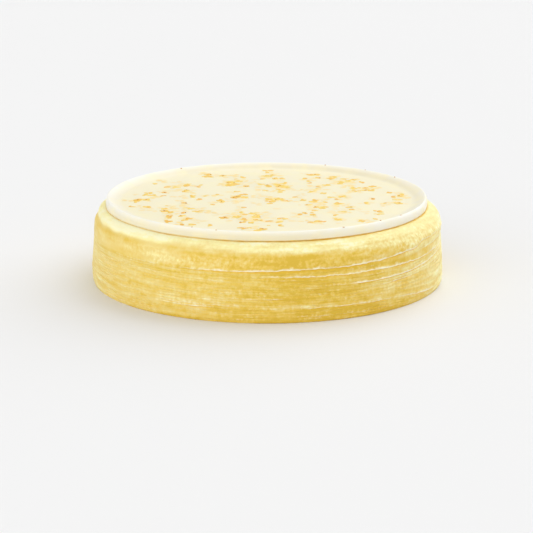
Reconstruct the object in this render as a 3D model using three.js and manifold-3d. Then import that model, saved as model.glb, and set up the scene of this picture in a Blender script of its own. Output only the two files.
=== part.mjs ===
// A whole osmanthus mille crepe cake, uncut: twenty crepes stacked on each other, whose rims droop and hang over
// one another down the side, and on top a disc of milky osmanthus gelee with a raised rim and flower petals in it.
// Millimetres, +Z up. The origin is the centre of the flat base, and -Y is the front.
import * as THREE from "three";
import { mergeVertices } from "three/addons/utils/BufferGeometryUtils.js";
import Module from "manifold-3d";

// Driving dimensions
const CAKE_DIAMETER = 228.6; // nine inches, at the foot
const STACK_HEIGHT = 48.5; // base to the flat top of the last crepe
const CREPES = 20;
const GELEE_DIAMETER = 210; // at its widest, halfway up its wall
const GELEE_RIM_HEIGHT = 6.1; // crest above the last crepe
const POOL_DEPTH = 3; // crest down to the flat pool
const CREST_INSET = 1.6; // crest in from the widest
const MENISCUS_WIDTH = 9; // crest in to the flat pool
const CREPE_LIP = 0.6; // how far a hanging crepe edge stands proud of the crepe below
const SHOULDER_DROP = 12; // height of the last crepe's rounded shoulder
const SHOULDER_INSET = 10; // and its width
const BEND_RADIUS = 106; // inside this every crepe lies flat
const CLUSTERS = 44; // of osmanthus flowers and loose petals, each of one to four
const CLUSTER_SPREAD = 13; // width of a cluster
const CLUSTER_STRAY = 18; // how far a cluster may lie off the even spread
const CLUSTER_REACH = 88; // radius the clusters are spread over
const FLOWER_REACH = 90.5; // no flower lies beyond this radius
const FLOWER_RADIUS = 2.9; // the largest; the smallest is six tenths of it
const FLOWER_PROUD = 0.5; // top of a petal above the pool
const FLOWER_SEED = 649654; // picked for clusters that lie much as they do on the real cake

const AROUND = 45; // segments round the cake
const PITCH = STACK_HEIGHT / CREPES;
const FOOT_RADIUS = CAKE_DIAMETER / 2;
const POOL_HEIGHT = STACK_HEIGHT + GELEE_RIM_HEIGHT - POOL_DEPTH;
const DEGREE = Math.PI / 180;
const GOLDEN_ANGLE = 137.5 * DEGREE;

// Heights of the five edges that stand out, from the base up, and how many crepes lie under each
const MAIN_EDGES = [
  { crepes: 5, height: lowEdge },
  { crepes: 10, height: middleEdge },
  { crepes: 14, height: upperEdge },
  { crepes: 17, height: secondEdge },
  { crepes: 19, height: topEdge },
];

// A smooth rise of the given height round one direction, the angle running from the front towards +X
function swell(angle, centre, width, height) {
  const off = Math.atan2(
    Math.sin(angle - centre * DEGREE),
    Math.cos(angle - centre * DEGREE),
  );
  return height * Math.exp(-((off / (width * DEGREE)) ** 2));
}

// A slow wander between about -1 and 1 that closes on itself round the cake and differs for every number
function wander(angle, number) {
  const phase = number * GOLDEN_ANGLE;
  return (
    0.5 * Math.cos(2 * angle + phase) +
    0.3 * Math.cos(3 * angle + 1.7 * phase) +
    0.2 * Math.cos(5 * angle + 2.3 * phase)
  );
}

function lowEdge(angle) {
  return (
    9.4 - swell(angle, 72, 24, 5) - swell(angle, 190, 30, 2.5) + 0.5 * wander(angle, 5)
  );
}

function middleEdge(angle) {
  return 16.6 + swell(angle, 52, 16, 1.8) + 0.6 * wander(angle, 10);
}

function upperEdge(angle) {
  return (
    22.9 + swell(angle, 78, 20, 3.2) + swell(angle, -45, 18, 1.6) + 0.4 * wander(angle, 14)
  );
}

function secondEdge(angle) {
  return 28.6 + swell(angle, 80, 24, 1.9) + 0.25 * wander(angle, 17);
}

function topEdge(angle) {
  return (
    33.4 +
    3.2 * Math.cos(angle - 115 * DEGREE) +
    swell(angle, 62, 20, 3.4) +
    0.3 * wander(angle, 19)
  );
}

// Height at which the hanging edge of crepe number + 1 ends over crepe number
function edgeHeight(number, angle) {
  if (number === 0) return 0;
  let below = { crepes: 0, height: () => 0 };
  for (const edge of MAIN_EDGES) {
    if (number <= edge.crepes) {
      const steps = edge.crepes - below.crepes;
      const share = (number - below.crepes) / steps;
      const stray = share === 1 ? 0 : (0.28 / steps) * wander(angle, 3 * number);
      return THREE.MathUtils.lerp(below.height(angle), edge.height(angle), share + stray);
    }
    below = edge;
  }
  return STACK_HEIGHT;
}

// Radius of the cake's side at a height: a little undercut at the foot and nearly upright above it
function sideRadius(height) {
  const foot = 0.7 * Math.exp(-((height / 4) ** 2));
  const lean = 1.8 * THREE.MathUtils.smoothstep(height, 10, 42);
  return FOOT_RADIUS + 0.7 - foot - lean;
}

// The rounded shoulder of the last crepe, from its flat top out and down to its hanging edge
function shoulder(endHeight) {
  const outline = [];
  for (const turn of [0, 18, 36, 54, 72]) {
    const drop = SHOULDER_DROP * (1 - Math.cos(turn * DEGREE));
    const inset = SHOULDER_INSET * (1 - Math.sin(turn * DEGREE));
    const height = Math.max(STACK_HEIGHT - drop, endHeight + 1);
    outline.push([sideRadius(STACK_HEIGHT - SHOULDER_DROP) - inset, height]);
  }
  return outline;
}

// Turns an outline that changes with the angle into a closed geometry. The outline starts and ends on the axis.
// Every face is split from its inner corner on one side, so that two pieces that touch share the same triangles.
function turned(outlineAt) {
  const points = outlineAt(0).length;
  const positions = [];
  const triangles = [];
  for (let i = 0; i < AROUND; i++) {
    const angle = (i / AROUND) * 2 * Math.PI;
    for (const [radius, height] of outlineAt(angle)) {
      positions.push(radius * Math.sin(angle), -radius * Math.cos(angle), height);
    }
    for (let j = 0; j < points - 1; j++) {
      const here = i * points + j;
      const next = ((i + 1) % AROUND) * points + j;
      const outward = outlineAt(angle)[j + 1][0] > outlineAt(angle)[j][0];
      if (outward) {
        triangles.push(here, next, here + 1, here + 1, next, next + 1);
      } else {
        triangles.push(here, next, next + 1, here, next + 1, here + 1);
      }
    }
  }
  const geometry = new THREE.BufferGeometry();
  geometry.setAttribute("position", new THREE.Float32BufferAttribute(positions, 3));
  geometry.setIndex(triangles);
  return geometry;
}

// Outline of one crepe: its underside lies on the crepe below, and its rim hangs to the edge below it
function crepeOutline(number, angle) {
  const below = edgeHeight(number - 1, angle);
  const underside = [[0, PITCH * (number - 1)]];
  if (number > 1) {
    underside.push([BEND_RADIUS, PITCH * (number - 1)]);
    underside.push([sideRadius(below) - CREPE_LIP, below]);
  }
  underside.push([sideRadius(below), below]);
  const upper = edgeHeight(number, angle);
  const upperside =
    number === CREPES
      ? shoulder(below)
      : [
          [BEND_RADIUS, PITCH * number],
          [sideRadius(upper) - CREPE_LIP, upper],
        ];
  return [...underside, ...upperside.reverse(), [0, PITCH * number]];
}

// The gelee disc: a rounded rim that tucks in at its foot, and a meniscus that runs down to the flat pool
function geleeDisc() {
  const outline = [new THREE.Vector2(0, STACK_HEIGHT)];
  const middle = GELEE_RIM_HEIGHT / 2;
  const crestRadius = GELEE_DIAMETER / 2 - CREST_INSET;
  for (const turn of [-60, -60, -30, 0, 30, 60, 90]) {
    const radius = crestRadius + CREST_INSET * Math.cos(turn * DEGREE);
    const rise = outline.length === 1 ? 0 : middle * (1 + Math.sin(turn * DEGREE));
    outline.push(new THREE.Vector2(radius, STACK_HEIGHT + rise));
  }
  for (const share of [0.25, 0.5, 0.75, 1]) {
    const radius = crestRadius - MENISCUS_WIDTH * share;
    outline.push(new THREE.Vector2(radius, POOL_HEIGHT + POOL_DEPTH * (1 - share) ** 1.8));
  }
  outline.push(new THREE.Vector2(0, POOL_HEIGHT));
  return new THREE.LatheGeometry(outline, AROUND).rotateX(Math.PI / 2);
}

// The same draws on every run
function seededRandom(seed) {
  let state = seed;
  return () => {
    state = (state * 16807) % 2147483647;
    return state / 2147483647;
  };
}

// A closed low form over a ring of rim points, which sink into the pool. Crowns stand inside every second rim
// point, and the middle rises to a share of their height.
function lowForm(rim, crownShare, middleShare, x, y) {
  const count = rim.length;
  const positions = [x, y, POOL_HEIGHT + FLOWER_PROUD * middleShare, x, y, POOL_HEIGHT - 0.8];
  for (const [rimX, rimY] of rim) {
    positions.push(x + rimX, y + rimY, POOL_HEIGHT - 0.2);
  }
  const triangles = [];
  for (let i = 0; i < count; i += 2) {
    const [rimX, rimY] = rim[i];
    positions.push(x + rimX * crownShare, y + rimY * crownShare, POOL_HEIGHT + FLOWER_PROUD);
    const crown = 2 + count + i / 2;
    const tip = 2 + i;
    const before = 2 + ((i + count - 1) % count);
    const after = 2 + ((i + 1) % count);
    triangles.push(crown, before, tip, crown, tip, after, 0, before, crown, 0, crown, after);
    triangles.push(1, tip, before, 1, after, tip);
  }
  const geometry = new THREE.BufferGeometry();
  geometry.setAttribute("position", new THREE.Float32BufferAttribute(positions, 3));
  geometry.setIndex(triangles);
  return geometry;
}

// An open flower of four rounded petals with a low middle
function flower(radius, turn, x, y) {
  const rim = [];
  for (let i = 0; i < 8; i++) {
    const angle = turn + (i / 8) * 2 * Math.PI;
    const reach = i % 2 === 0 ? radius : 0.5 * radius;
    rim.push([reach * Math.cos(angle), reach * Math.sin(angle)]);
  }
  return lowForm(rim, 0.55, 0.45, x, y);
}

// A loose petal, longer than it is wide, with a crown at each end
function petal(radius, turn, x, y) {
  const rim = [
    [radius, 0],
    [0, 0.5 * radius],
    [-radius, 0],
    [0, -0.5 * radius],
  ].map(([along, across]) => [
    along * Math.cos(turn) - across * Math.sin(turn),
    along * Math.sin(turn) + across * Math.cos(turn),
  ]);
  return lowForm(rim, 0.4, 1, x, y);
}

const wasm = await Module();
wasm.setup();

// A closed geometry as a solid that can be joined and cut
function solidOf(geometry) {
  geometry.deleteAttribute("normal");
  geometry.deleteAttribute("uv");
  const merged = mergeVertices(geometry, 1e-3);
  return new wasm.Manifold(
    new wasm.Mesh({
      numProp: 3,
      vertProperties: merged.getAttribute("position").array,
      triVerts: new Uint32Array(merged.index.array),
    }),
  );
}

function geometryOf(solid) {
  const mesh = solid.getMesh();
  return new THREE.BufferGeometry()
    .setAttribute("position", new THREE.BufferAttribute(mesh.vertProperties, 3))
    .setIndex(new THREE.BufferAttribute(mesh.triVerts, 1));
}

// Flowers and loose petals in clusters, spread over the pool by the golden angle and moved by seeded draws
function geleeWithFlowers() {
  const random = seededRandom(FLOWER_SEED);
  const start = 2 * Math.PI * random();
  let solid = solidOf(geleeDisc());
  for (let cluster = 0; cluster < CLUSTERS; cluster++) {
    const distance = CLUSTER_REACH * Math.sqrt((cluster + 0.5) / CLUSTERS);
    const angle = start + cluster * GOLDEN_ANGLE;
    const middleX = distance * Math.sin(angle) + CLUSTER_STRAY * (random() - 0.5);
    const middleY = distance * Math.cos(angle) + CLUSTER_STRAY * (random() - 0.5);
    const flowers = 1 + ((3 * cluster) % 4);
    for (let i = 0; i < flowers; i++) {
      const x = middleX + CLUSTER_SPREAD * (random() - 0.5);
      const y = middleY + CLUSTER_SPREAD * (random() - 0.5);
      const radius = FLOWER_RADIUS * (0.6 + 0.4 * random());
      const turn = Math.PI * random();
      const shape = random() < 0.6 ? flower : petal;
      if (Math.hypot(x, y) < FLOWER_REACH) {
        solid = solid.add(solidOf(shape(radius, turn, x, y)));
      }
    }
  }
  return geometryOf(solid);
}

const cake = new THREE.Group();
for (let number = 1; number <= CREPES; number++) {
  const crepe = new THREE.Mesh(
    turned((angle) => crepeOutline(number, angle)),
    new THREE.MeshStandardMaterial({ color: "#e9c869", roughness: 0.75, metalness: 0 }),
  );
  crepe.name = "crepe_" + String(number).padStart(2, "0");
  cake.add(crepe);
}
const gelee = new THREE.Mesh(
  geleeWithFlowers(),
  new THREE.MeshStandardMaterial({ color: "#f8f3d8", roughness: 0.25, metalness: 0 }),
);
gelee.name = "osmanthus_gelee";
cake.add(gelee);

export default cake;
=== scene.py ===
"""The looks of a whole osmanthus mille crepe cake: twenty thin crepes whose rims droop over one another,
and a milky gelee disc with osmanthus flowers set in it. Lengths in the shape functions are millimetres,
+Z is up, and angles run from the front (-Y) towards +X."""

import functools
import math
import random

import bmesh
import bpy
from mathutils import Matrix, Vector, noise


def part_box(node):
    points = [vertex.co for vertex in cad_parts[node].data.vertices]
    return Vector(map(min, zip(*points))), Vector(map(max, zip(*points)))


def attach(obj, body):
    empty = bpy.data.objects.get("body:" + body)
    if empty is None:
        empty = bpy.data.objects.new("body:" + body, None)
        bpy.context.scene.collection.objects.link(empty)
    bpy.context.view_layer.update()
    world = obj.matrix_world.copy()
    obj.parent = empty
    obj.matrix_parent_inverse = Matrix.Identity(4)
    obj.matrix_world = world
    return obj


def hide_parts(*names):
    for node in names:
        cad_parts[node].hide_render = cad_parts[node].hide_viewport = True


bl_info = {
    "name": "Osmanthus mille crepe cake",
    "version": (1, 0, 0),
    "blender": (4, 5, 0),
    "location": "3D View > Sidebar > Cake",
    "description": "Builds the crepes, the gelee disc and the flowers of a mille crepe cake",
    "category": "Add Mesh",
}

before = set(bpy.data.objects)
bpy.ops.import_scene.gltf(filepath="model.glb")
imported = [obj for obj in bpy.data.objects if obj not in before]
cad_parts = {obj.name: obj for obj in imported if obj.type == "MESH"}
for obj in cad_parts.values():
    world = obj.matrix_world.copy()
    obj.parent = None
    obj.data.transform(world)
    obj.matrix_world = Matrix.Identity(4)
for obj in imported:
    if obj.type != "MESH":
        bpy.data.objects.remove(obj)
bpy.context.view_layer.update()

MM = 0.001
TURN = 2 * math.pi
GOLDEN_ANGLE = math.radians(137.5)
CREPES = sum(1 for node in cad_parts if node.startswith("crepe_"))
STACK_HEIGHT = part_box("crepe_%02d" % CREPES)[1][2] / MM
PITCH = STACK_HEIGHT / CREPES
FOOT_RADIUS = round(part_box("crepe_01")[1][0] / MM, 1)
GELEE_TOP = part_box("osmanthus_gelee")[1][2] / MM
GELEE_RADIUS = round(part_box("osmanthus_gelee")[1][0] / MM, 1)

# A crepe lies flat out to its bend and hangs down beyond it
BEND_RADIUS = FOOT_RADIUS - 8.3

# How far the side leans to the right, and the radii where the lean begins and ends
LEAN = 0.6
LEAN_START = 104
LEAN_END = 110

# Segments round a piece when it is spun, before its rings are cut finer, and rows up each part of an outline
COARSE_STEPS = 90
FACE_ROWS = 10
SKIRT_ROWS = 16
SHOULDER_ROWS = 34
MENISCUS_ROWS = 16

# How far up the curl of an open edge reaches
CURL_HEIGHT = 0.8


def linear(hex_colour):
    """A linear RGBA colour from an sRGB hex value."""
    channels = [int(hex_colour[i : i + 2], 16) / 255 for i in (1, 3, 5)]
    return [c / 12.92 if c < 0.04045 else ((c + 0.055) / 1.055) ** 2.4 for c in channels] + [1]


def length_property(name, description, millimetres):
    """A property that holds a length."""
    return bpy.props.FloatProperty(
        name=name, description=description, default=millimetres * MM, unit="LENGTH"
    )


def colour_property(name, description, hex_colour):
    """A property that holds a colour."""
    return bpy.props.FloatVectorProperty(
        name=name, description=description, default=linear(hex_colour), subtype="COLOR", size=4
    )


def brightness_property(name, description, default):
    """A property that holds a share of full white."""
    return bpy.props.FloatProperty(name=name, description=description, default=default)


class CrepeSettings(bpy.types.PropertyGroup):
    """Sizes and colours of the crepes."""

    lip: length_property("Lip", "How far a hanging crepe edge stands proud of the crepe below", 0.32)
    flare: length_property("Flare", "How far the edge curls outwards", 0.15)
    ragged: length_property("Ragged", "How far a crepe edge strays up and down", 0.45)
    shoulder_inset: length_property("Shoulder width", "Width of the last crepe's rounded shoulder", 10)
    shoulder_drop: length_property("Shoulder height", "Height of the last crepe's rounded shoulder", 12)
    steps: bpy.props.IntProperty(name="Steps", description="Segments round the cake", default=1080)
    golden: colour_property("Golden", "Colour where the batter browned most", "#deba42")
    honey: colour_property("Honey", "Colour of well browned batter", "#eac960")
    yellow: colour_property("Yellow", "Usual colour of the batter", "#efd88a")
    # Lemon is partly painted light, where the shoulder faces up to the lights
    lit_lemon: colour_property("Lemon", "Colour of the smooth shoulder", "#fbf1b0")
    pale: colour_property("Pale", "Colour where the batter browned least", "#fcf7cc")
    # The edge colour is partly the thin batter's own paleness and partly painted highlight on the curled lip
    edge: colour_property("Edge", "Colour of a crepe's thin open edge", "#fffbe2")
    # The fold colour is painted shade under the hanging edges and in the seam beside the disc
    fold: colour_property("Fold", "Colour in the fold under an edge and beside the disc", "#e8b62e")


class GeleeSettings(bpy.types.PropertyGroup):
    """Sizes and colours of the gelee disc."""

    pool_depth: length_property("Pool depth", "From the crest of the rim down to the flat pool", 3)
    meniscus: length_property("Meniscus width", "From the crest of the rim in to the flat pool", 9)
    steps: bpy.props.IntProperty(name="Steps", description="Segments round the disc", default=720)
    pool: colour_property("Pool", "Colour of the milky pool", "#f7edcb")
    rim: colour_property("Rim", "Colour of the whiter rim", "#f5f2e7")
    # The foot colour is painted shade, with the crepe's yellow bounce, on the lower wall of the rim and on
    # the back of the meniscus
    foot: colour_property("Foot", "Colour of the rim where it meets the crepe", "#e9e0c0")
    syrup: colour_property("Syrup", "Colour of the clouds of flower syrup", "#fbf0bf")
    # This colour is painted golden shade, with the crepe's yellow, in the seam where the rim meets the crepe
    rim_seam_shade: colour_property("Stain", "Colour that the crepe gives the foot of the rim", "#f3cb48")


class FlowerSettings(bpy.types.PropertyGroup):
    """Sizes and colours of the osmanthus flowers."""

    radius: length_property("Radius", "Radius of the largest flower", 3.1)
    pale: colour_property("Border", "Colour of a petal's thin border", "#f6e29c")
    yellow: colour_property("Petal", "Colour of a fresh petal", "#f5d868")
    orange: colour_property("Heart", "Colour of a petal's root and of an older flower", "#ecb445")
    sunken: colour_property("Sunken", "Colour of a petal under the milky surface", "#f9dc84")
    brown: colour_property("Stalk", "Colour of a dried stalk", "#ad6e30")


class StageSettings(bpy.types.PropertyGroup):
    """Camera distance and light strengths."""

    camera_distance: length_property("Camera distance", "Level distance from the cake's middle", 1202.4)
    camera_height: length_property("Camera height", "Height above the foot of the cake", 321.5)
    camera_tilt: bpy.props.FloatProperty(
        name="Camera tilt",
        description="How far the camera looks down",
        default=math.radians(14.72),
        subtype="ANGLE",
    )
    key: brightness_property("Key light", "What the light at the upper right adds to a white card", 0.56)
    front: brightness_property("Front card", "What the card in front adds to a white card", 0.48)
    left: brightness_property("Left card", "What the card at the left adds to a white card", 0.1)
    sky: brightness_property("Surround", "Strength of the even white surround", 0.57)


# Shape of the side, as the solids have it, but with the lowest long edge about 1 mm lower all round and the
# others 1 to 2 mm lower at the right front


def bell(off, width):
    """Falls from 1 at the middle to nearly 0 at twice the width."""
    return math.exp(-((off / width) ** 2))


def onset(off, softness):
    """Rises from 0 to 1 where off passes 0."""
    return 1 / (1 + math.exp(-off / softness))


def swell(angle, centre, width, height):
    """A smooth rise of the given height round one direction, in degrees."""
    off = math.remainder(angle - math.radians(centre), TURN)
    return height * bell(off, math.radians(width))


def patch(angle, height, centre, middle, spread, tall, amount):
    """A soft patch round one direction and height, with its spread in degrees and in millimetres."""
    return swell(angle, centre, spread, amount) * bell(height - middle, tall)


def wander(angle, number):
    """A slow wander between about -1 and 1 that differs for every number."""
    phase = number * GOLDEN_ANGLE
    return (
        0.5 * math.cos(2 * angle + phase)
        + 0.3 * math.cos(3 * angle + 1.7 * phase)
        + 0.2 * math.cos(5 * angle + 2.3 * phase)
    )


# Heights of the five long edges that stand out


def low_edge(angle):
    return 8.5 - swell(angle, 72, 24, 5) - swell(angle, 190, 30, 2.5) + 0.3 * wander(angle, 5)


def middle_edge(angle):
    return 16.6 + swell(angle, 52, 16, 1.8) + 0.6 * wander(angle, 10)


def upper_edge(angle):
    rise = swell(angle, 78, 20, 3.2) + swell(angle, -45, 18, 1.6)
    return 22.9 + rise + 0.4 * wander(angle, 14) - swell(angle, 45, 40, 1.6)


def second_edge(angle):
    sag = swell(angle, 30, 40, 0.8) + swell(angle, 66, 20, 1.9)
    return 28.6 + swell(angle, 80, 24, 1.9) + 0.25 * wander(angle, 17) - sag


def top_edge(angle):
    return (
        33.4
        + 3.2 * math.cos(angle - math.radians(115))
        + swell(angle, 62, 20, 3.4)
        + 0.3 * wander(angle, 19)
        - swell(angle, 46, 22, 2.0)
    )


MAIN_EDGES = ((5, low_edge), (10, middle_edge), (14, upper_edge), (17, second_edge), (19, top_edge))


@functools.lru_cache(maxsize=None)
def edge_height(number, angle):
    """Height at which the hanging edge of crepe number + 1 ends over crepe number."""
    if number == 0:
        return 0.0
    last_count = 0
    last_height = 0.0
    for count, height in MAIN_EDGES:
        if number <= count:
            steps = count - last_count
            share = (number - last_count) / steps
            if share < 1:
                share += 0.28 / steps * wander(angle, 3 * number)
            return last_height + (height(angle) - last_height) * share
        last_count = count
        last_height = height(angle)
    return STACK_HEIGHT


def side_radius(height):
    """Radius of the cake's side: 0.5 mm rounded in at the foot, and 1.8 mm less from 8 up to 40 mm."""
    foot = 0.5 * bell(height, 1.2)
    rise = min(max((height - 8) / 32, 0), 1)
    return FOOT_RADIUS + 0.6 - foot - 1.8 * rise * rise * (3 - 2 * rise)


# Finer shape that only shows close by


def at(angle, radius, height):
    """A point in millimetres."""
    return Vector((radius * math.sin(angle), -radius * math.cos(angle), height))


def grain(angle, height, along, upright, seed):
    """Noise between -1 and 1 on the side, with the size of its grain along the side and up it."""
    spot = (
        FOOT_RADIUS / along * math.sin(angle) + 17.3 * seed,
        -FOOT_RADIUS / along * math.cos(angle) + 5.1 * seed,
        height / upright + 11.7 * seed,
    )
    return noise.noise(spot)


def drift(angle, along, seed):
    """Noise between -1 and 1 that only varies round the cake."""
    return grain(angle, 0, along, 1, seed)


@functools.lru_cache(maxsize=None)
def ragged_edge(number, angle, most):
    """The edge height with its small rises and tears."""
    height = edge_height(number, angle)
    if number == 0:
        return height
    room = min(
        edge_height(number + 1, angle) - height if number < CREPES - 1 else 3,
        height - edge_height(number - 1, angle),
    )
    stray = min(most, 0.28 * room)
    height += stray * (drift(angle, 9, number) + 0.7 * drift(angle, 2.2, number + 40))
    if number == CREPES - 1:
        tear = math.remainder(angle - math.radians(56), TURN) * FOOT_RADIUS
        height += 0.65 * (1 + math.tanh(tear)) * math.exp(-max(tear, 0) / 30)
        height -= 0.8 * bell(tear + 4, 6)
    return height


# What each point of a crepe carries for its material: nearness to its open edge, whose paleness is partly
# painted highlight, painted shade in the fold under the edge over it and in the seam beside the disc,
# paleness, partly painted light on the shoulder, froth, hanging strokes, strength of the streaks, and height
# along the layers in m
CREPE_MARKS = ("edge", "fold_shade", "tone", "fray", "hang", "streaky", "flow")
INSIDE = (0, 0, 0.4, 0, 0, 0, 0)

# What each point of the disc carries: whiteness of the rim, painted shade with the crepe's yellow at the foot
# of the rim and on the back of the meniscus, and painted golden shade at the seam
GELEE_MARKS = ("rim", "foot", "rim_seam_shade")

# Where the edge over a crepe shows clearly: crepe number, direction and spread in degrees, amount
CLEAR_EDGES = (
    (19, 40, 34, 0.9),
    (19, -8, 18, 0.6),
    (19, 52, 6, 0.7),
    (18, 72, 14, 0.4),
    (17, 40, 34, 0.9),
    (16, 74, 10, 0.5),
    (14, 50, 24, 1.05),
    (12, 62, 10, 0.4),
    (10, 46, 9, 0.45),
    (5, 58, 9, 0.7),
    (5, 28, 20, 0.35),
    (5, -24, 10, 0.5),
    (6, -22, 9, 0.4),
    (2, 32, 16, 0.25),
    (9, -6, 10, 0.3),
    (19, 150, 40, 0.7),
    (17, 170, 40, 0.6),
    (14, 215, 40, 0.6),
    (8, 140, 30, 0.5),
    (5, 240, 30, 0.5),
)


@functools.lru_cache(maxsize=None)
def edge_strength(number, angle):
    """How clearly the edge over a crepe shows, between 0 and 1, which comes and goes along it."""
    share = 0.07 + 0.35 * max(0, drift(angle, 18, number + 80))
    for count, centre, spread, amount in CLEAR_EDGES:
        if count == number:
            share += swell(angle, centre, spread, amount)
    share *= 1 + 0.65 * drift(angle, 7, number + 120) + 0.4 * drift(angle, 2.2, number + 160)
    return min(max(share, 0.04), 1.1)


# Patches of the side that are paler or more golden: direction, height, spread in degrees, spread in mm,
# amount.
# Most are browning, but the three tall ones at 14, 80 and -82 degrees are painted shade at the front right
# and painted light towards the right and left sides, and the one at 40 degrees and 42 mm is painted light
# where the shoulder faces up to the key light
PATCHES = (
    (14, 24, 24, 60, -0.26),
    (80, 24, 20, 60, 0.38),
    (-82, 24, 22, 60, 0.2),
    (-66, 2.0, 16, 1.6, 0.14),
    (82, 2.0, 14, 2.6, 0.15),
    (-33, 36.6, 23, 3.4, 0.18),
    (-33, 31.3, 34, 0.7, -0.14),
    (-18, 28.0, 22, 0.6, -0.13),
    (-12, 34.5, 8, 2.4, 0.06),
    (-68, 41.3, 12, 2.0, -0.22),
    (-21, 41.0, 4, 1.1, -0.24),
    (10, 37.5, 16, 3.6, -0.05),
    (31, 39.0, 12, 3.0, 0.07),
    (8, 31.5, 14, 3.5, -0.12),
    (50, 21.0, 14, 3.0, 0.2),
    (14, 10.0, 14, 1.9, 0.08),
    (12, 15.3, 10, 2.8, -0.2),
    (50, 34.0, 8, 2.4, 0.14),
    (-25, 11.0, 9, 1.6, 0.12),
    (25, 5.5, 18, 2.2, -0.1),
    (-48, 16.0, 0.8, 1.6, -0.4),
    (-51, 40.6, 1.5, 1.8, -0.2),
    (40, 42.0, 18, 2.5, 0.16),
    (150, 36.0, 22, 4.0, 0.22),
    (205, 14.0, 26, 5.0, 0.16),
    (255, 40.0, 16, 3.0, -0.18),
    (180, 26.0, 24, 4.0, -0.16),
)


def browning_and_painted_light(angle, height, number):
    """Paleness of the skin between 0 (golden) and 1 (palest), as browning and painted light and shade vary it
    over the side.
    """
    tone = 0.42 + 0.16 * drift(angle, 40, number + 400) + 0.1 * grain(angle, height, 11, 3, 600)
    for place in PATCHES:
        tone += patch(angle, height, *place)
    above = height - low_edge(angle)
    tone += patch(angle, above, 28, 1.5, 28, 1.3, 0.2)
    tone -= swell(angle, 34, 26, 0.14) * onset(-0.2 - above, 0.3)
    ends = swell(angle, -75, 40, 1) + swell(angle, 85, 28, 1)
    tone -= 0.26 * (1 - ends) * bell(height, 2.6)

    # Above a wavy border the shoulder turns pale, partly its own smoother batter and partly painted light
    # where it faces up to the lights, more at the left
    border = 43.5 - swell(angle, 40, 60, 2.2) + swell(angle, -24, 16, 2.0) + swell(angle, 24, 18, 1.3)
    border += 1.0 * drift(angle, 16, 610)
    softness = 0.5 + swell(angle, -18, 16, 0.6) + swell(angle, 60, 20, 0.8)
    shoulder = 0.89 + swell(angle, -50, 30, 0.12) - swell(angle, 62, 28, 0.09)
    shoulder += 0.05 * grain(angle, height, 8, 4, 620) - patch(angle, height, 44, 44.1, 16, 0.6, 0.14)
    return min(max(tone + (shoulder - tone) * onset(height - border, softness), 0), 1)


def skin_relief(angle, height, number):
    """Swell, wrinkles and creases of the skin, outwards, in millimetres."""
    return (
        0.5 * grain(angle, height, 26, 12, 1)
        - patch(angle, height, -33, 36.5, 26, 2.6, 0.6)
        + patch(angle, height, 30, 36.5, 34, 3, 0.4)
        + 0.25 * grain(angle, height, 9, 5, number + 200)
        + 0.07 * grain(angle, height, 2.4, 9, number + 300)
    )


# Patches of the side with froth and hanging strokes: direction, height, spread in degrees and mm, amount
FRAYED = (
    (-18, 36.0, 12, 3.5, 0.4),
    (-35, 36.0, 18, 3.5, 0.2),
    (8, 38.0, 16, 4.5, 0.4),
    (48, 41.0, 22, 5.0, 0.5),
    (-4, 19.0, 7, 6.0, 0.6),
    (14, 16.0, 10, 4.0, 0.5),
    (28, 3.5, 20, 2.5, 0.5),
    (160, 40.0, 30, 6.0, 0.8),
    (230, 20.0, 20, 8.0, 0.5),
)


def calm(height):
    """Falls from 1 on the side to 0.5 on the smooth shoulder."""
    return 1 - 0.5 * onset(height - 42.5, 1.2)


def fray(angle, height):
    """How rough the skin is, between 0 and about 1.4."""
    amount = 0.6 + 0.4 * grain(angle, height, 14, 6, 700) - swell(angle, -70, 35, 0.5)
    for place in FRAYED:
        amount += patch(angle, height, *place)
    return max(amount, 0) * calm(height)


def skin(angle, height, number):
    """Tone, froth, strokes and streaks of the skin at one place."""
    rough = fray(angle, height)
    hanging = rough * (1 - 0.85 * onset(height - 40.5, 1.2)) * (1 - swell(angle, 62, 22, 0.6))
    streaky = 1 - swell(angle, -65, 50, 0.6) - swell(angle, 70, 30, 0.35)
    streaky -= patch(angle, height, -35, 37, 22, 4, 0.4)
    return browning_and_painted_light(angle, height, number), rough, hanging, streaky * calm(height)


def pale_width(number, angle):
    """How far the paleness of an edge reaches up from it."""
    return 1.15 + 1.0 * max(-0.6, drift(angle, 6, number + 140))


def lip_depth(strength, settings):
    """How far an edge stands proud, which is hardly at all where it doesn't show."""
    return settings.lip / MM * strength**1.5


def lip_outline(number, angle, edge, reach, settings):
    """Rows of the rounded lower edge of a crepe, from where it meets the crepe below out to its face."""
    own = edge_strength(number - 1, angle)
    flare = settings.flare / MM * own**1.5
    depth = lip_depth(own, settings) + flare
    face = side_radius(edge) + flare
    rise = 0.45 * reach
    tone = browning_and_painted_light(angle, edge, number)
    rows = []
    # The lip's face carries the pale edge, partly painted highlight, and its underside painted shade
    for turn, shown in ((-90, 0), (-55, 0.5), (-20, 0.9), (20, 1)):
        across = depth * (1 - math.cos(math.radians(turn)))
        up = rise * (1 + math.sin(math.radians(turn)))
        rows.append((face - across, edge + up, own * shown, own * (1 - shown), tone, 0.4, 0.4, 0.6, 0))
    return rows


def placed(rows, number, angle):
    """The rows with the side leaning to the right and fuller under the right shoulder, and with the flow
    counted on from crepe to crepe."""
    moved = []
    for row in rows:
        shift = LEAN * math.sin(angle) + patch(angle, row[1], 65, 38.5, 40, 4, 1.0)
        radius = row[0] + shift * min(max((row[0] - LEAN_START) / (LEAN_END - LEAN_START), 0), 1)
        moved.append((radius,) + row[1:-1] + (row[-1] + number * PITCH * MM,))
    return moved


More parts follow.
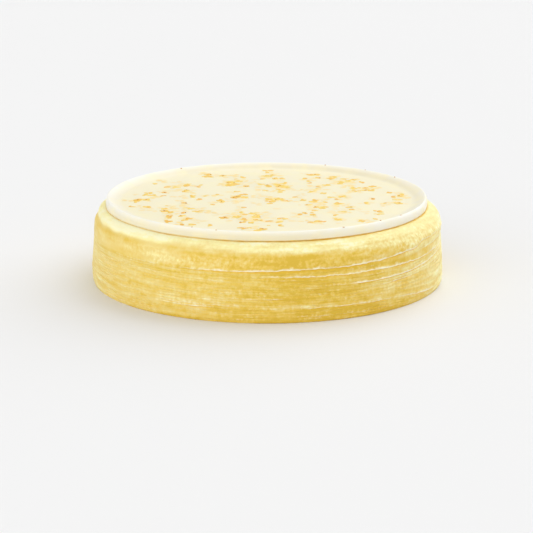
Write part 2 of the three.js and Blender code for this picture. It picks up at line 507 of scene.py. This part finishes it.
def crepe_outline(number, angle, settings):
    """Rows of one crepe from the axis below to the axis above, each with its radius, height and the values
    of CREPE_MARKS."""
    edge = ragged_edge(number - 1, angle, settings.ragged / MM)
    upper = ragged_edge(number, angle, settings.ragged / MM)
    own = edge_strength(number - 1, angle) if number > 1 else 0
    over = edge_strength(number, angle)
    cover = lip_depth(over, settings)
    pale = pale_width(number - 1, angle)
    rows = [(0, PITCH * (number - 1)) + INSIDE]
    if number > 1:
        rows.append((BEND_RADIUS, PITCH * (number - 1)) + INSIDE)
        rows += lip_outline(number, angle, edge, min(1, (upper - edge) / 1.6), settings)
    else:
        for inset, height in ((0.5, 0), (0.1, 0.12)):
            rows.append((side_radius(0) - inset, height, 0, 0) + skin(angle, 0, number) + (0,))
    start_height = rows[-1][1]
    out = rows[-1][0] - side_radius(start_height)
    for i in range(1, FACE_ROWS + 1):
        share = i / FACE_ROWS
        height = start_height + (upper - start_height) * share
        curl = bell(height - start_height, CURL_HEIGHT) * (1 - share)
        radius = side_radius(height) + out * curl - cover * share**2.2
        radius += skin_relief(angle, height, number) * min(1, 3 * share, 3 * (1 - share))
        mark = own * bell(height - edge, pale)
        # Painted shade in the fold under the edge of the crepe above
        fold_shade = over * bell(upper - height, 1.4)
        rows.append((radius, height, mark, fold_shade) + skin(angle, height, number) + (share * PITCH * MM,))
    rows.append((BEND_RADIUS, PITCH * number) + INSIDE)
    rows.append((0, PITCH * number) + INSIDE)
    return placed(rows, number, angle)


def top_outline(angle, settings):
    """Rows of the last crepe, whose skirt runs up over a rounded shoulder to the flat top."""
    number = CREPES
    edge = ragged_edge(number - 1, angle, settings.ragged / MM)
    own = edge_strength(number - 1, angle)
    pale = pale_width(number - 1, angle)
    foot = PITCH * (number - 1)
    rows = [(0, foot) + INSIDE, (BEND_RADIUS, foot) + INSIDE]
    rows += lip_outline(number, angle, edge, 1, settings)
    start_height = rows[-1][1]
    out = rows[-1][0] - side_radius(start_height)
    inset = settings.shoulder_inset / MM
    drop = settings.shoulder_drop / MM
    turn_height = STACK_HEIGHT - drop
    lowest = max(turn_height, start_height + 0.8)
    for i in range(1, SKIRT_ROWS + 1):
        share = i / SKIRT_ROWS
        height = start_height + (lowest - start_height) * share
        curl = bell(height - start_height, CURL_HEIGHT) * (1 - share)
        radius = side_radius(height) + out * curl + skin_relief(angle, height, number) * min(1, 3 * share)
        mark = own * bell(height - edge, pale)
        rows.append((radius, height, mark, 0) + skin(angle, height, number) + ((height - edge) * MM,))

    # Painted golden shade in the seam beside the disc, stronger in some directions than others
    crepe_seam_shade = 1.2 + 0.6 * drift(angle, 7, 640) + 0.4 * drift(angle, 2, 641)
    crepe_seam_shade += swell(angle, 28, 24, 0.6) - swell(angle, -55, 30, 0.5)
    first_turn = math.acos(min(1, (lowest - turn_height) / drop))
    for i in range(1, SHOULDER_ROWS + 1):
        turn = first_turn * (1 - i / SHOULDER_ROWS)
        height = turn_height + drop * math.cos(turn)
        radius = side_radius(turn_height) - inset * (1 - math.sin(turn))
        relief = skin_relief(angle, height, number) * min(1, (SHOULDER_ROWS - i) / 6)
        relief += patch(angle, height, -92, 46.3, 38, 1.9, 0.8) - patch(angle, height, -78, 43, 40, 1.6, 0.9)
        radius += relief * math.sin(turn)
        height += relief * math.cos(turn)
        fold_shade = crepe_seam_shade * onset(GELEE_RADIUS + 0.35 - radius, 0.15)
        run = lowest - edge + (inset + drop) / 2 * (first_turn - turn)
        rows.append((radius, height, 0, fold_shade) + skin(angle, height, number) + (run * MM,))
    rows.append((0, STACK_HEIGHT) + INSIDE)
    return placed(rows, number, angle)


def spun_piece(name, outline_at, steps, marks):
    """A closed piece spun from the outline at the front, whose rings then move to their own outlines. The
    further values in each row are kept on the vertices under the names in marks."""
    mesh = bmesh.new()
    row_number = mesh.verts.layers.int.new("row")
    mark_layers = [mesh.verts.layers.float.new(mark) for mark in marks]
    chain = []
    for row, point in enumerate(outline_at(0)):
        vertex = mesh.verts.new(at(0, point[0], point[1]) * MM)
        vertex[row_number] = row
        chain.append(vertex)
    edges = [mesh.edges.new(pair) for pair in zip(chain, chain[1:])]
    bmesh.ops.spin(
        mesh,
        geom=chain + edges,
        axis=(0, 0, 1),
        cent=(0, 0, 0),
        angle=TURN,
        steps=COARSE_STEPS,
        use_merge=True,
    )
    rings = [edge for edge in mesh.edges if edge.verts[0][row_number] == edge.verts[1][row_number]]
    bmesh.ops.subdivide_edges(mesh, edges=rings, cuts=steps // COARSE_STEPS - 1, use_grid_fill=True)
    poles = [v for v in mesh.verts if math.hypot(v.co.x, v.co.y) < 1e-7]
    bmesh.ops.remove_doubles(mesh, verts=poles, dist=1e-6)
    outlines = [outline_at(TURN * i / steps) for i in range(steps)]
    for vertex in mesh.verts:
        step = round(math.atan2(vertex.co.x, -vertex.co.y) / TURN * steps) % steps
        point = outlines[step][vertex[row_number]]
        vertex.co = at(TURN * step / steps, point[0], point[1]) * MM
        for layer, value in zip(mark_layers, point[2:]):
            vertex[layer] = value
    return finished(name, mesh)


def finished(name, mesh):
    """A shown object from a bmesh, with its faces outward and smooth."""
    bmesh.ops.recalc_face_normals(mesh, faces=mesh.faces)
    for face in mesh.faces:
        face.smooth = True
    data = bpy.data.meshes.new(name)
    mesh.to_mesh(data)
    mesh.free()
    if "row" in data.attributes:
        data.attributes.remove(data.attributes["row"])
    piece = bpy.data.objects.new(name, data)
    bpy.context.collection.objects.link(piece)
    return piece


# Materials


def add(tree, kind, values=None, links=None, **settings):
    """Adds a node with its settings, the values of its sockets and the links into them."""
    node = tree.nodes.new(kind)
    for name, value in settings.items():
        setattr(node, name, value)
    for socket, value in (values or {}).items():
        node.inputs[socket].default_value = value
    for socket, source in (links or {}).items():
        tree.links.new(source, node.inputs[socket])
    return node


def blank_material(name):
    material = bpy.data.materials.new(name)
    material.use_nodes = True
    material.node_tree.nodes.clear()
    return material, material.node_tree


# Where most values of a noise texture lie
NOISE_RANGE = {"From Min": 0.3, "From Max": 0.7}


def crepe_skin():
    """Thin pan-fried egg batter: matt, faintly translucent, golden with paler froth marks, and with a nearly
    white open edge, partly its own pale colour and partly painted highlight. Painted shade deepens the yellow
    in the folds under the edges and in the seam beside the disc, and painted light helps the shoulder look
    pale lemon."""
    settings = bpy.context.scene.crepe_settings
    material, tree = blank_material("fried_crepe_batter")
    place = add(tree, "ShaderNodeTexCoord").outputs["Object"]
    marks = {}
    for mark in CREPE_MARKS:
        marks[mark] = add(tree, "ShaderNodeAttribute", attribute_name=mark).outputs["Fac"]
    parts = add(tree, "ShaderNodeSeparateXYZ", None, {"Vector": place})
    layered = add(
        tree,
        "ShaderNodeCombineXYZ",
        None,
        {"X": parts.outputs["X"], "Y": parts.outputs["Y"], "Z": marks["flow"]},
    ).outputs[0]

    # Froth marks of 2.2 mm, clouds of 12 mm by 5 mm, flow streaks of 2.6 mm by 26 mm along the layers, short
    # smears of 1.2 mm by 7 mm, and hanging strokes 2 mm wide and 6 mm long
    textures = {}
    for name, source, along, upright, detail in (
        ("froth", place, 2.2, 2.2, 2),
        ("clouds", layered, 12, 5, 2),
        ("streaks", layered, 26, 2.6, 1),
        ("smears", layered, 7, 1.2, 1),
        ("strokes", place, 2, 6, 2),
    ):
        stretch = add(
            tree,
            "ShaderNodeMapping",
            {"Scale": (1 / (along * MM), 1 / (along * MM), 1 / (upright * MM))},
            {"Vector": source},
        )
        textures[name] = add(
            tree,
            "ShaderNodeTexNoise",
            {"Scale": 1, "Detail": detail, "Roughness": 0.55},
            {"Vector": stretch.outputs[0]},
        ).outputs["Fac"]

    # Each pattern makes the batter darker or paler, as strongly as its mark says
    tone = marks["tone"]
    for name, mark, low, high, least, most in (
        ("froth", "fray", 0.3, 0.7, -0.25, 0.25),
        ("strokes", "hang", 0.3, 0.7, -0.11, 0.11),
        ("clouds", "streaky", 0.3, 0.7, -0.23, 0.23),
        ("streaks", "streaky", 0.3, 0.7, -0.18, 0.18),
        ("smears", "streaky", 0.56, 0.74, 0, 0.11),
    ):
        share = add(
            tree,
            "ShaderNodeMapRange",
            {"From Min": low, "From Max": high, "To Min": least, "To Max": most},
            {"Value": textures[name]},
        )
        tone = add(
            tree,
            "ShaderNodeMath",
            None,
            {0: share.outputs[0], 1: marks[mark], 2: tone},
            operation="MULTIPLY_ADD",
        ).outputs[0]
    browned = add(tree, "ShaderNodeValToRGB", None, {"Fac": tone})
    browned.color_ramp.elements[0].color = settings.golden[:]
    browned.color_ramp.elements[1].color = settings.pale[:]
    for spot, tint in ((0.28, settings.honey), (0.58, settings.yellow), (0.9, settings.lit_lemon)):
        browned.color_ramp.elements.new(spot).color = tint[:]

    # The open edge is paler where the froth crumbles it and where painted highlight lies on its curled lip,
    # and painted shade deepens the fold under an edge and the seam beside the disc
    crumbled = add(
        tree,
        "ShaderNodeMath",
        {1: 0.7},
        {0: textures["froth"], 2: marks["edge"]},
        operation="MULTIPLY_ADD",
    )
    edge_share = add(
        tree,
        "ShaderNodeMapRange",
        {"From Min": 0.5, "From Max": 1.3, "To Min": 0, "To Max": 0.9},
        {"Value": crumbled.outputs[0]},
    )
    fold_share = add(tree, "ShaderNodeMath", {1: 0.5}, {0: marks["fold_shade"]}, operation="MULTIPLY")
    colour = browned.outputs["Color"]
    for tint, share in ((settings.edge, edge_share), (settings.fold, fold_share)):
        colour = add(
            tree,
            "ShaderNodeMix",
            {"B": tint[:]},
            {"Factor": share.outputs[0], "A": colour},
            data_type="RGBA",
        ).outputs["Result"]

    relief = add(
        tree,
        "ShaderNodeMath",
        {1: 0.7},
        {0: textures["streaks"], 2: textures["froth"]},
        operation="MULTIPLY_ADD",
    )
    bump = add(
        tree,
        "ShaderNodeBump",
        {"Strength": 0.04, "Distance": 0.3 * MM},
        {"Height": relief.outputs[0]},
    )
    roughness = add(
        tree,
        "ShaderNodeMapRange",
        {**NOISE_RANGE, "To Min": 0.54, "To Max": 0.7},
        {"Value": textures["froth"]},
    )
    shader = add(
        tree,
        "ShaderNodeBsdfPrincipled",
        {
            "IOR": 1.4,
            "Specular IOR Level": 0.35,
            "Subsurface Weight": 0.15,
            "Subsurface Radius": (1.0, 0.7, 0.3),
            "Subsurface Scale": 0.8 * MM,
        },
        {"Base Color": colour, "Roughness": roughness.outputs[0], "Normal": bump.outputs["Normal"]},
    )
    add(tree, "ShaderNodeOutputMaterial", None, {"Surface": shader.outputs[0]})
    return material


def milk_gelee():
    """Coconut milk jelly set in a mould: smooth, glossy and cloudy. Light goes a little way in, which gives
    the eye its soft depth like cream, and the thick rim looks whiter than the pool. Painted shade, with the
    crepe's yellow, darkens the foot of the rim, the back of the meniscus and the seam at the crepe."""
    settings = bpy.context.scene.gelee_settings
    material, tree = blank_material("set_milk_gelee")
    place = add(tree, "ShaderNodeTexCoord").outputs["Object"]
    marks = {}
    for mark in GELEE_MARKS:
        marks[mark] = add(tree, "ShaderNodeAttribute", attribute_name=mark).outputs["Fac"]

    # Clouds of flower syrup about 12 mm across, and a ripple of 9 mm
    cloud = add(
        tree,
        "ShaderNodeTexNoise",
        {"Scale": 1 / (12 * MM), "Detail": 2},
        {"Vector": place},
    ).outputs["Fac"]
    ripple = add(tree, "ShaderNodeTexNoise", {"Scale": 1 / (9 * MM), "Detail": 1}, {"Vector": place})
    syrup_share = add(
        tree,
        "ShaderNodeMapRange",
        {"From Min": 0.45, "From Max": 0.8, "To Min": 0, "To Max": 0.5},
        {"Value": cloud},
    )
    colour = add(
        tree,
        "ShaderNodeMix",
        {"A": settings.pool[:], "B": settings.rim[:]},
        {"Factor": marks["rim"]},
        data_type="RGBA",
    ).outputs["Result"]
    # The foot and seam colours paint shade; the syrup clouds are the jelly's own colour
    for tint, share in (
        (settings.foot, marks["foot"]),
        (settings.syrup, syrup_share.outputs[0]),
        (settings.rim_seam_shade, marks["rim_seam_shade"]),
    ):
        colour = add(
            tree,
            "ShaderNodeMix",
            {"B": tint[:]},
            {"Factor": share, "A": colour},
            data_type="RGBA",
        ).outputs["Result"]
    bump = add(
        tree,
        "ShaderNodeBump",
        {"Strength": 0.12, "Distance": 0.3 * MM},
        {"Height": ripple.outputs["Fac"]},
    )
    roughness = add(
        tree,
        "ShaderNodeMapRange",
        {**NOISE_RANGE, "To Min": 0.28, "To Max": 0.36},
        {"Value": cloud},
    )
    shader = add(
        tree,
        "ShaderNodeBsdfPrincipled",
        {
            "IOR": 1.36,
            "Specular IOR Level": 0.35,
            "Subsurface Weight": 0.5,
            "Subsurface Radius": (1.0, 0.95, 0.85),
            "Subsurface Scale": 2.5 * MM,
        },
        {"Base Color": colour, "Roughness": roughness.outputs[0], "Normal": bump.outputs["Normal"]},
    )
    add(tree, "ShaderNodeOutputMaterial", None, {"Surface": shader.outputs[0]})
    return material


def osmanthus_petal():
    """Fresh osmanthus petals soaked in the jelly: waxy, thin and translucent, yellow at the tips and orange
    at the heart, so that each fleck glows a little against the milk."""
    settings = bpy.context.scene.flower_settings
    material, tree = blank_material("soaked_osmanthus_petal")
    age = add(tree, "ShaderNodeAttribute", attribute_name="age")
    place = add(tree, "ShaderNodeTexCoord").outputs["Object"]

    # Mottling of the wet petal, about 0.8 mm across
    mottle = add(
        tree,
        "ShaderNodeTexNoise",
        {"Scale": 1 / (0.8 * MM), "Detail": 1},
        {"Vector": place},
    ).outputs["Fac"]
    shift = add(
        tree,
        "ShaderNodeMapRange",
        {**NOISE_RANGE, "To Min": -0.12, "To Max": 0.12},
        {"Value": mottle},
    )
    ripe = add(tree, "ShaderNodeMath", None, {0: age.outputs["Fac"], 1: shift.outputs[0]}, operation="ADD")
    colour = add(tree, "ShaderNodeValToRGB", None, {"Fac": ripe.outputs[0]})
    colour.color_ramp.elements[0].color = settings.pale[:]
    colour.color_ramp.elements[1].color = settings.orange[:]
    colour.color_ramp.elements.new(0.4).color = settings.yellow[:]
    roughness = add(
        tree,
        "ShaderNodeMapRange",
        {**NOISE_RANGE, "To Min": 0.38, "To Max": 0.52},
        {"Value": mottle},
    )
    bump = add(tree, "ShaderNodeBump", {"Strength": 0.2, "Distance": 0.1 * MM}, {"Height": mottle})
    shader = add(
        tree,
        "ShaderNodeBsdfPrincipled",
        {"IOR": 1.4, "Specular IOR Level": 0.3},
        {
            "Base Color": colour.outputs["Color"],
            "Roughness": roughness.outputs[0],
            "Normal": bump.outputs["Normal"],
        },
    )
    add(tree, "ShaderNodeOutputMaterial", None, {"Surface": shader.outputs[0]})
    return material


def sunken_petal():
    """Petals just under the milky surface: the jelly over them leaves only a faint butter-yellow blur."""
    scene = bpy.context.scene
    material, tree = blank_material("petal_under_jelly")
    age = add(tree, "ShaderNodeAttribute", attribute_name="age")
    colour = add(
        tree,
        "ShaderNodeMix",
        {"A": scene.gelee_settings.pool[:], "B": scene.flower_settings.sunken[:]},
        {"Factor": age.outputs["Fac"]},
        data_type="RGBA",
    )
    shader = add(
        tree,
        "ShaderNodeBsdfPrincipled",
        {"Roughness": 0.35, "IOR": 1.36},
        {"Base Color": colour.outputs["Result"]},
    )
    add(tree, "ShaderNodeOutputMaterial", None, {"Surface": shader.outputs[0]})
    return material


def dried_stalk():
    """Dried stalk and bud scale of osmanthus: dull brown woody bits that read as dark specks."""
    settings = bpy.context.scene.flower_settings
    material, tree = blank_material("dried_osmanthus_stalk")
    place = add(tree, "ShaderNodeTexCoord").outputs["Object"]

    # Woody grain about 1 mm across
    shade = add(tree, "ShaderNodeTexNoise", {"Scale": 1 / (1 * MM)}, {"Vector": place})
    colour = add(
        tree,
        "ShaderNodeMix",
        {"A": settings.brown[:], "B": settings.orange[:]},
        {"Factor": shade.outputs["Fac"]},
        data_type="RGBA",
    )
    bump = add(
        tree,
        "ShaderNodeBump",
        {"Strength": 0.4, "Distance": 0.1 * MM},
        {"Height": shade.outputs["Fac"]},
    )
    shader = add(
        tree,
        "ShaderNodeBsdfPrincipled",
        {"Roughness": 0.7},
        {"Base Color": colour.outputs["Result"], "Normal": bump.outputs["Normal"]},
    )
    add(tree, "ShaderNodeOutputMaterial", None, {"Surface": shader.outputs[0]})
    return material


def studio_paper():
    """Seamless matt white studio paper, which gives an even pale ground with a soft shadow."""
    material, tree = blank_material("white_studio_paper")
    shader = add(
        tree,
        "ShaderNodeBsdfPrincipled",
        {"Base Color": linear("#ebebeb"), "Roughness": 0.9, "Specular IOR Level": 0.1},
    )
    add(tree, "ShaderNodeOutputMaterial", None, {"Surface": shader.outputs[0]})
    return material


def dress(piece, material, node=None):
    """Gives a piece its material, ties it to the root body and hides the solid of the node that it stands in
    for.
    """
    piece.data.materials.append(material)
    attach(piece, "root")
    if node:
        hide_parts(node)


# Gelee and flowers


def gelee_outline(angle, settings):
    """Rows of the disc, each with its radius, height and the values of GELEE_MARKS: a rounded rim that tucks
    in at its foot, and a meniscus that runs down to the flat pool."""
    pool_depth = settings.pool_depth / MM
    pool = GELEE_TOP - pool_depth
    middle = (GELEE_TOP - STACK_HEIGHT) / 2
    inset = 1.6
    crest = GELEE_RADIUS - inset
    stray = 0.25 * drift(angle, 40, 500) + 0.1 * drift(angle, 9, 501)
    rise = 0.12 * drift(angle, 50, 502)
    # Painted shade, with the crepe's yellow, on the lower wall of the rim, strongest just left of the front
    foot_shade = 0.35 + swell(angle, -25, 50, 0.5) - swell(angle, 48, 22, 0.35)
    foot_shade += swell(angle, 0, 14, 0.12) + swell(angle, -62, 16, 0.2)
    # Painted golden shade in the seam at the foot of the rim, stronger at the front right
    rim_seam_shade_strength = 0.5 + swell(angle, 14, 34, 0.35) + 0.5 * drift(angle, 5, 503)
    # Painted shade on the back of the meniscus, which faces away from the key light, carried in the foot mark
    shaded = swell(angle, 140, 70, 0.95) + swell(angle, -145, 60, 0.55)
    rows = [(0, STACK_HEIGHT, 0, 0, 1), (crest + 0.9, STACK_HEIGHT, 1, 1, 1)]
    for turn in range(-75, 91, 11):
        slope = math.radians(turn)
        height = STACK_HEIGHT + middle * (1 + math.sin(slope))
        lift = rise * max(0, turn) / 90
        foot = foot_shade * min(1, max(0, (75 - turn) / 75))
        rim_seam_shade = min(1, max(0, (-48 - turn) / 16)) * rim_seam_shade_strength
        out = inset * math.cos(slope) ** (0.22 if turn < 0 else 1)
        rows.append((crest + out + stray, height + lift, 1, foot, rim_seam_shade))
    for i in range(1, MENISCUS_ROWS + 1):
        share = i / MENISCUS_ROWS
        fall = (1 - share) ** 1.8
        radius = crest + stray * (1 - share) - settings.meniscus / MM * share
        shade = shaded * min(1, 2 * share, 3 * (1 - share))
        rows.append((radius, pool + (pool_depth + rise) * fall, (1 - share) ** 0.7, shade, 0))
    rows.append((crest - settings.meniscus / MM - 3, pool, 0, 0, 0))
    rows.append((0, pool, 0, 0, 0))
    return rows


def seeded_random(seed):
    """The same even draws as the solids use."""
    state = seed

    def draw():
        nonlocal state
        state = state * 16807 % 2147483647
        return state / 2147483647

    return draw


# Clusters of flowers: how many, how wide, how far each strays, and how far out clusters and flowers may lie
CLUSTERS = 44
CLUSTER_SPREAD = 13
CLUSTER_STRAY = 18
CLUSTER_REACH = 88
FLOWER_REACH = 90.5
FLOWER_SEED = 649654
SCATTER_SEED = 5

PETAL_THICKNESS = 0.6


def flower_places(largest):
    """(x, y, radius, turn, open) of every flower and loose petal, where the solids have them."""
    draw = seeded_random(FLOWER_SEED)
    start = TURN * draw()
    places = []
    for cluster in range(CLUSTERS):
        distance = CLUSTER_REACH * math.sqrt((cluster + 0.5) / CLUSTERS)
        angle = start + cluster * GOLDEN_ANGLE
        middle_x = distance * math.sin(angle) + CLUSTER_STRAY * (draw() - 0.5)
        middle_y = distance * math.cos(angle) + CLUSTER_STRAY * (draw() - 0.5)
        for _ in range(1 + (3 * cluster) % 4):
            x = middle_x + CLUSTER_SPREAD * (draw() - 0.5)
            y = middle_y + CLUSTER_SPREAD * (draw() - 0.5)
            radius = largest * (0.6 + 0.4 * draw())
            turn = math.pi * draw()
            is_open = draw() < 0.6
            if math.hypot(x, y) < FLOWER_REACH:
                places.append((x, y, radius, turn, is_open))
    return places


def add_petal(mesh, layer, length, width, turn, spot, age, curl, sunk, fade):
    """One waxy petal: a flattened ball drawn out from its root over the spot and sunk into the jelly, whose
    tip curls up and whose border fades."""
    shape = (
        Matrix.Translation(spot)
        @ Matrix.Rotation(turn, 4, "Z")
        @ Matrix.Diagonal((length, width, PETAL_THICKNESS, 1))
        @ Matrix.Translation((0.46, 0, -sunk / PETAL_THICKNESS))
    )
    made = bmesh.ops.create_icosphere(mesh, subdivisions=2, radius=0.5, matrix=shape)
    top = PETAL_THICKNESS / 2 - sunk
    for vertex in made["verts"]:
        out = (vertex.co - spot).to_2d().length / length
        border = min(1, 1 - (vertex.co.z - spot.z) / top)
        vertex.co.z += curl * out * out
        vertex[layer] = min(max(age + 0.6 * max(0, 1 - out) - fade * border, 0), 1)


def flower_piece(name, rng, places, height, curl, sunk, fade):
    """Open flowers of four petals and loose petals."""
    mesh = bmesh.new()
    layer = mesh.verts.layers.float.new("age")
    for x, y, radius, turn, is_open in places:
        age = 0.25 + 0.5 * rng.random() ** 2
        spot = Vector((x, y, height))
        if is_open:
            for quarter in range(4):
                petal_turn = turn + quarter * TURN / 4 + rng.uniform(-0.3, 0.3)
                length = radius * rng.uniform(1.1, 1.4)
                width = radius * rng.uniform(0.9, 1.2)
                add_petal(mesh, layer, length, width, petal_turn, spot, age, rng.uniform(0, curl), sunk, fade)
        else:
            spot.x -= 0.85 * radius * math.cos(turn)
            spot.y -= 0.85 * radius * math.sin(turn)
            length = 2.1 * radius
            width = 1.3 * radius
            add_petal(mesh, layer, length, width, turn, spot, age, rng.uniform(0, curl), sunk, fade)
    bmesh.ops.scale(mesh, vec=(MM, MM, MM), verts=mesh.verts)
    return finished(name, mesh)


def strewn(rng, count, stray):
    """(x, y) places that cover the pool evenly, each moved a little at random."""
    start = rng.uniform(0, TURN)
    places = []
    for i in range(count):
        distance = FLOWER_REACH * math.sqrt((i + 0.5) / count)
        spot = at(start + i * GOLDEN_ANGLE, distance, 0)
        places.append((spot.x + rng.uniform(-stray, stray), spot.y + rng.uniform(-stray, stray)))
    return places


def fleck_piece(name, rng, places, height, share, shortest, longest, curl, sunk, fade):
    """Torn flowers of one to three petals that drift round the places, with share of them at each."""
    mesh = bmesh.new()
    layer = mesh.verts.layers.float.new("age")
    for place in places:
        for _ in range(int(share + rng.random())):
            spot = Vector((place[0] + rng.gauss(0, 4), place[1] + rng.gauss(0, 4), height))
            if spot.to_2d().length > FLOWER_REACH + 1:
                continue
            turn = rng.uniform(0, TURN)
            age = 0.2 + 0.5 * rng.random() ** 1.5
            for _ in range(rng.choice((1, 2, 3))):
                turn += rng.uniform(1.0, 1.8)
                length = rng.uniform(shortest, longest)
                width = length * rng.uniform(0.5, 0.8)
                add_petal(mesh, layer, length, width, turn, spot, age, rng.uniform(0, curl), sunk, fade)
    bmesh.ops.scale(mesh, vec=(MM, MM, MM), verts=mesh.verts)
    return finished(name, mesh)


def speck_piece(name, rng, places, height, on_rim, chance):
    """Bits of dried stalk on the flowers, each with the given chance, and a few on the rim."""
    mesh = bmesh.new()
    spots = []
    for _ in range(on_rim):
        spots.append(at(rng.uniform(0, TURN), GELEE_RADIUS - rng.uniform(1, 2.8), GELEE_TOP - 0.12))
    for x, y, _, _, _ in places:
        if rng.random() < chance:
            spots.append(Vector((x + rng.gauss(0, 0.8), y + rng.gauss(0, 0.8), height + 0.25)))
    for spot in spots:
        shape = (
            Matrix.Translation(spot)
            @ Matrix.Rotation(rng.uniform(0, TURN), 4, "Z")
            @ Matrix.Diagonal((rng.uniform(1, 2.4), rng.uniform(0.7, 1), 0.6, 1))
        )
        bmesh.ops.create_icosphere(mesh, subdivisions=1, radius=0.5, matrix=shape)
    bmesh.ops.scale(mesh, vec=(MM, MM, MM), verts=mesh.verts)
    return finished(name, mesh)


# Operators


class CAKE_OT_crepes(bpy.types.Operator):
    """Add the crepes under the last one"""

    bl_idname = "cake.crepes"
    bl_label = "Crepes"

    def execute(self, context):
        settings = context.scene.crepe_settings
        material = crepe_skin()
        for number in range(1, CREPES):
            node = "crepe_%02d" % number
            piece = spun_piece(
                "stacked_" + node,
                lambda angle: crepe_outline(number, angle, settings),
                settings.steps,
                CREPE_MARKS,
            )
            dress(piece, material, node)
        return {"FINISHED"}


class CAKE_OT_top_crepe(bpy.types.Operator):
    """Add the last crepe, which covers the stack and hangs down its side"""

    bl_idname = "cake.top_crepe"
    bl_label = "Last crepe"

    def execute(self, context):
        settings = context.scene.crepe_settings
        piece = spun_piece(
            "covering_crepe",
            lambda angle: top_outline(angle, settings),
            settings.steps,
            CREPE_MARKS,
        )
        dress(piece, bpy.data.materials["fried_crepe_batter"], "crepe_%02d" % CREPES)
        return {"FINISHED"}


class CAKE_OT_gelee(bpy.types.Operator):
    """Add the gelee disc"""

    bl_idname = "cake.gelee"
    bl_label = "Gelee disc"

    def execute(self, context):
        settings = context.scene.gelee_settings
        piece = spun_piece(
            "gelee_disc",
            lambda angle: gelee_outline(angle, settings),
            settings.steps,
            GELEE_MARKS,
        )
        dress(piece, milk_gelee(), "osmanthus_gelee")
        return {"FINISHED"}


class CAKE_OT_flowers(bpy.types.Operator):
    """Add the osmanthus flowers and loose petals in the pool"""

    bl_idname = "cake.flowers"
    bl_label = "Osmanthus flowers"

    def execute(self, context):
        scene = context.scene
        height = GELEE_TOP - scene.gelee_settings.pool_depth / MM
        rng = random.Random(SCATTER_SEED)
        places = flower_places(scene.flower_settings.radius / MM)
        petal = osmanthus_petal()
        piece = flower_piece("osmanthus_flowers", rng, places, height, curl=0.3, sunk=0.06, fade=0.25)
        dress(piece, petal, "osmanthus_gelee")
        loose = strewn(rng, count=66, stray=9)
        torn = {"share": 1.5, "shortest": 3, "longest": 5.4, "curl": 0.2, "sunk": 0.1, "fade": 0.3}
        piece = fleck_piece("torn_petals", rng, loose, height, **torn)
        dress(piece, petal)
        faint = {"share": 1.7, "shortest": 5, "longest": 10, "curl": 0, "sunk": 0.2, "fade": 0.5}
        piece = fleck_piece("sunken_petals", rng, places + loose, height, **faint)
        dress(piece, sunken_petal())
        piece = speck_piece("stalk_bits", rng, places, height, on_rim=9, chance=0.3)
        dress(piece, dried_stalk())
        return {"FINISHED"}


class CAKE_OT_stage(bpy.types.Operator):
    """Add the floor, the lights and the camera"""

    bl_idname = "cake.stage"
    bl_label = "Stage"

    def execute(self, context):
        settings = context.scene.stage_settings
        mesh = bmesh.new()
        bmesh.ops.create_grid(mesh, x_segments=1, y_segments=1, size=15)
        floor = finished("studio_floor", mesh)
        floor.data.materials.append(studio_paper())

        def lamp(name, bearing, rise, width, brightness):
            """A broad far light, with its directions and width in degrees, whose brightness is what it adds
            to a white card that faces it."""
            light = bpy.data.lights.new(name, "SUN")
            light.angle = math.radians(width)
            light.energy = math.pi * brightness
            item = bpy.data.objects.new(name, light)
            level = math.cos(math.radians(rise))
            aim = at(math.radians(bearing), level, math.sin(math.radians(rise)))
            item.location = aim
            item.rotation_euler = aim.to_track_quat("Z", "Y").to_euler()
            context.collection.objects.link(item)

        lamp("key_light", bearing=136, rise=42, width=75, brightness=settings.key)
        lamp("front_card", bearing=-24, rise=12, width=70, brightness=settings.front)
        lamp("left_card", bearing=-85, rise=15, width=70, brightness=settings.left)

        world = bpy.data.worlds.new("white_surround")
        world.use_nodes = True
        background = world.node_tree.nodes["Background"]
        background.inputs["Color"].default_value = linear("#ffffff")
        background.inputs["Strength"].default_value = settings.sky
        context.scene.world = world

        lens = bpy.data.cameras.new("photo_camera")
        lens.lens = 127.1
        lens.sensor_width = 36
        lens.clip_end = 60
        camera = bpy.data.objects.new("photo_camera", lens)
        camera.location = (0, -settings.camera_distance, settings.camera_height)
        camera.rotation_euler = (math.pi / 2 - settings.camera_tilt, 0, 0)
        context.collection.objects.link(camera)
        context.scene.camera = camera
        context.scene.view_settings.view_transform = "Standard"
        return {"FINISHED"}


class CAKE_PT_panel(bpy.types.Panel):
    """Lists the pieces of the cake"""

    bl_idname = "CAKE_PT_panel"
    bl_label = "Mille crepe cake"
    bl_space_type = "VIEW_3D"
    bl_region_type = "UI"
    bl_category = "Cake"

    def draw(self, context):
        for group in SETTINGS:
            settings = getattr(context.scene, group)
            box = self.layout.box()
            for name in settings.bl_rna.properties.keys():
                if name not in ("rna_type", "name"):
                    box.prop(settings, name)
        for operator in OPERATORS:
            self.layout.operator(operator.bl_idname)


SETTINGS = {
    "crepe_settings": CrepeSettings,
    "gelee_settings": GeleeSettings,
    "flower_settings": FlowerSettings,
    "stage_settings": StageSettings,
}
OPERATORS = (CAKE_OT_crepes, CAKE_OT_top_crepe, CAKE_OT_gelee, CAKE_OT_flowers, CAKE_OT_stage)


def register():
    for name, group in SETTINGS.items():
        bpy.utils.register_class(group)
        setattr(bpy.types.Scene, name, bpy.props.PointerProperty(type=group))
    for operator in OPERATORS:
        bpy.utils.register_class(operator)
    bpy.utils.register_class(CAKE_PT_panel)


def unregister():
    bpy.utils.unregister_class(CAKE_PT_panel)
    for operator in reversed(OPERATORS):
        bpy.utils.unregister_class(operator)
    for name, group in SETTINGS.items():
        delattr(bpy.types.Scene, name)
        bpy.utils.unregister_class(group)


def main():
    register()
    bpy.ops.cake.crepes()
    bpy.ops.cake.top_crepe()
    bpy.ops.cake.gelee()
    bpy.ops.cake.flowers()
    bpy.ops.cake.stage()


if __name__ == "__main__":
    main()
